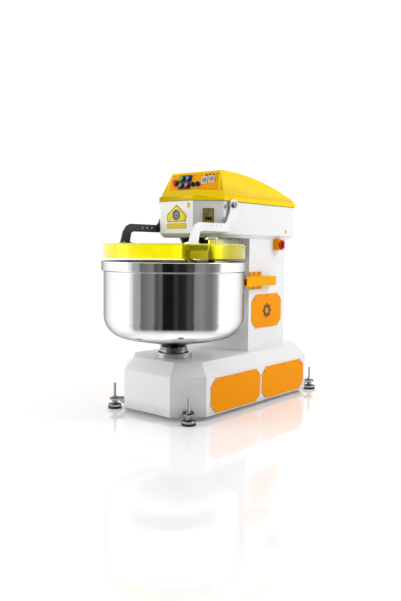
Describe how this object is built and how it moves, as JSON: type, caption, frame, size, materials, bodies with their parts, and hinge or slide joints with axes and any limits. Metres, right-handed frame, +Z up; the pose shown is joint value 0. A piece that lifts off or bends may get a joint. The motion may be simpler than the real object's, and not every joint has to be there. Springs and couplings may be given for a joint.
{
  "type": "spiral dough mixer",
  "caption": "Floor-standing spiral dough mixer with a fixed head, turning steel bowl, breaker bar, tilting clear guard, sloping control face and levelling feet.",
  "frame": {"origin": "on the floor, under the middle of the bounding box", "axes": "+Z up, the bowl and the controls face -Y, the column stands towards +Y, +X is to the right of a person who looks at the front along +Y"},
  "size_m": [0.95, 1.722, 1.586],
  "materials": {
    "white_paint": "satin powder coat",
    "amber_paint": "gloss powder coat",
    "switch_yellow": "gloss",
    "yellow_paint": "gloss powder coat",
    "badge_yellow": "gloss print on sheet",
    "olive_plate": "printed satin",
    "emblem_brown": "satin",
    "zinc_steel": "zinc plated",
    "sole_rubber": "moulded",
    "belt_rubber": "ribbed",
    "frame_steel": "dull",
    "pulley_iron": "machined",
    "motor_iron": "painted",
    "bowl_steel": "polished stainless",
    "flange_steel": "machined",
    "hook_steel": "dark satin",
    "bar_chrome": "polished",
    "arm_steel": "brushed stainless",
    "shield_steel": "satin stainless",
    "guard_plastic": "transparent tinted",
    "roller_nylon": "turned",
    "gland_black": "moulded",
    "block_black": "moulded",
    "button_green": "gloss",
    "button_white": "gloss",
    "button_red": "gloss",
    "stop_red": "gloss",
    "timer_white": "gloss",
    "dial_grey": "satin",
    "lamp_red": "gloss lens"
  },
  "bodies": {
    "machine": {"base_housing": "white_paint", "column_housing": "white_paint", "rear_panel": "white_paint", "head_housing": "white_paint", "base_panels": "amber_paint", "column_panels": "amber_paint", "roller_brackets": "amber_paint", "control_panel": "amber_paint", "main_switch_box": "switch_yellow", "head_cover": "yellow_paint", "head_badge": "badge_yellow", "temperature_display": "olive_plate", "column_emblem": "emblem_brown", "panel_screws": "zinc_steel", "foot_brackets": "zinc_steel", "hex_fasteners": "zinc_steel", "spindle_bearings": "zinc_steel", "bowl_belt": "belt_rubber", "spiral_belt": "belt_rubber", "base_frame": "frame_steel", "electrical_plate": "frame_steel", "guard_pivots": "frame_steel", "bowl_motor": "motor_iron", "spiral_motor": "motor_iron", "bowl_bearing_housing": "flange_steel", "breaker_bar": "bar_chrome", "rear_shield": "shield_steel", "cable_gland": "gland_black", "button_block": "block_black", "timer_housings": "timer_white", "signal_lamps": "lamp_red"},
    "bowl": {"bowl": "bowl_steel", "bowl_spindle": "flange_steel", "bowl_pulley": "pulley_iron"},
    "spiral": {"spiral_hook": "hook_steel", "spiral_pulley": "pulley_iron"},
    "guard": {"bowl_guard": "guard_plastic", "guard_arms": "arm_steel"},
    "bowl_motor_drive": {"bowl_motor_pulley": "pulley_iron"},
    "spiral_motor_drive": {"spiral_motor_pulley": "pulley_iron"},
    "roller_left": {"bowl_roller_left": "roller_nylon"},
    "roller_right": {"bowl_roller_right": "roller_nylon"},
    "main_switch": {"main_switch_knob": "stop_red"},
    "emergency_stop": {"emergency_stop": "stop_red"},
    "bowl_start": {"button_bowl_start": "button_green"},
    "bowl_reverse": {"button_bowl_reverse": "button_white"},
    "spiral_start": {"button_spiral_start": "button_green"},
    "stop": {"button_stop": "button_red"},
    "mode": {"selector_mode": "block_black"},
    "speed": {"selector_speed": "block_black"},
    "timer_slow": {"timer_knob_slow": "dial_grey"},
    "timer_fast": {"timer_knob_fast": "dial_grey"},
    "foot_front_left": {"levelling_foot_front_left": "zinc_steel", "foot_rubber_front_left": "sole_rubber"},
    "foot_front_right": {"levelling_foot_front_right": "zinc_steel", "foot_rubber_front_right": "sole_rubber"},
    "foot_rear_left": {"levelling_foot_rear_left": "zinc_steel", "foot_rubber_rear_left": "sole_rubber"},
    "foot_rear_right": {"levelling_foot_rear_right": "zinc_steel", "foot_rubber_rear_right": "sole_rubber"}
  },
  "joints": [
    {"name": "bowl_spin", "type": "hinge", "parent": "machine", "child": "bowl", "pos_m": [0, -0.38598, 0.5], "axis": [0, 0, 1], "continuous": true},
    {"name": "spiral_spin", "type": "hinge", "parent": "machine", "child": "spiral", "pos_m": [0, -0.16598, 1.1], "axis": [0, 0, 1], "continuous": true},
    {"name": "bowl_motor_spin", "type": "hinge", "parent": "machine", "child": "bowl_motor_drive", "pos_m": [0, 0.03402, 0.134], "axis": [0, 0, 1], "continuous": true},
    {"name": "spiral_motor_spin", "type": "hinge", "parent": "machine", "child": "spiral_motor_drive", "pos_m": [0, 0.37402, 1.314], "axis": [0, 0, 1], "continuous": true},
    {"name": "roller_left_spin", "type": "hinge", "parent": "machine", "child": "roller_left", "pos_m": [-0.278, 0.01546, 0.85], "axis": [0, 0, 1], "continuous": true},
    {"name": "roller_right_spin", "type": "hinge", "parent": "machine", "child": "roller_right", "pos_m": [0.278, 0.01546, 0.85], "axis": [0, 0, 1], "continuous": true},
    {"name": "guard_tilt", "type": "hinge", "parent": "machine", "child": "guard", "pos_m": [0, -0.14898, 1.357], "axis": [-1, 0, 0], "range_deg": [0, 65]},
    {"name": "main_switch_turn", "type": "hinge", "parent": "machine", "child": "main_switch", "pos_m": [0.31, 0.43402, 1.106], "axis": [1, 0, 0], "range_deg": [0, 90]},
    {"name": "emergency_stop_press", "type": "slide", "parent": "machine", "child": "emergency_stop", "axis": [0, 0.958, -0.2867], "range_m": [0, 0.005]},
    {"name": "bowl_start_press", "type": "slide", "parent": "machine", "child": "bowl_start", "axis": [0, 0.958, -0.2867], "range_m": [0, 0.004], "stiffness_N_per_m": 900},
    {"name": "bowl_reverse_press", "type": "slide", "parent": "machine", "child": "bowl_reverse", "axis": [0, 0.958, -0.2867], "range_m": [0, 0.004], "stiffness_N_per_m": 900},
    {"name": "spiral_start_press", "type": "slide", "parent": "machine", "child": "spiral_start", "axis": [0, 0.958, -0.2867], "range_m": [0, 0.004], "stiffness_N_per_m": 900},
    {"name": "stop_press", "type": "slide", "parent": "machine", "child": "stop", "axis": [0, 0.958, -0.2867], "range_m": [0, 0.004], "stiffness_N_per_m": 900},
    {"name": "mode_turn", "type": "hinge", "parent": "machine", "child": "mode", "pos_m": [0.006, -0.20236, 1.49786], "axis": [0, 0.958, -0.2867], "range_deg": [-45, 45]},
    {"name": "speed_turn", "type": "hinge", "parent": "machine", "child": "speed", "pos_m": [0.046, -0.20208, 1.49882], "axis": [0, 0.958, -0.2867], "range_deg": [-45, 45]},
    {"name": "timer_slow_turn", "type": "hinge", "parent": "machine", "child": "timer_slow", "pos_m": [0.098, -0.19548, 1.52085], "axis": [0, 0.958, -0.2867], "range_deg": [0, 300]},
    {"name": "timer_fast_turn", "type": "hinge", "parent": "machine", "child": "timer_fast", "pos_m": [0.158, -0.19405, 1.52564], "axis": [0, 0.958, -0.2867], "range_deg": [0, 300]},
    {"name": "foot_front_left_screw", "type": "slide", "parent": "machine", "child": "foot_front_left", "axis": [0, 0, -1], "range_m": [0, 0.03]},
    {"name": "foot_front_right_screw", "type": "slide", "parent": "machine", "child": "foot_front_right", "axis": [0, 0, -1], "range_m": [0, 0.03]},
    {"name": "foot_rear_left_screw", "type": "slide", "parent": "machine", "child": "foot_rear_left", "axis": [0, 0, -1], "range_m": [0, 0.03]},
    {"name": "foot_rear_right_screw", "type": "slide", "parent": "machine", "child": "foot_rear_right", "axis": [0, 0, -1], "range_m": [0, 0.03]}
  ],
  "couplings": [
    {"joint": "bowl_motor_spin", "follows": "bowl_spin", "ratio": 3.2},
    {"joint": "spiral_motor_spin", "follows": "spiral_spin", "ratio": 2.8333},
    {"joint": "roller_left_spin", "follows": "bowl_spin", "ratio": -16.429},
    {"joint": "roller_right_spin", "follows": "bowl_spin", "ratio": -16.429}
  ]
}
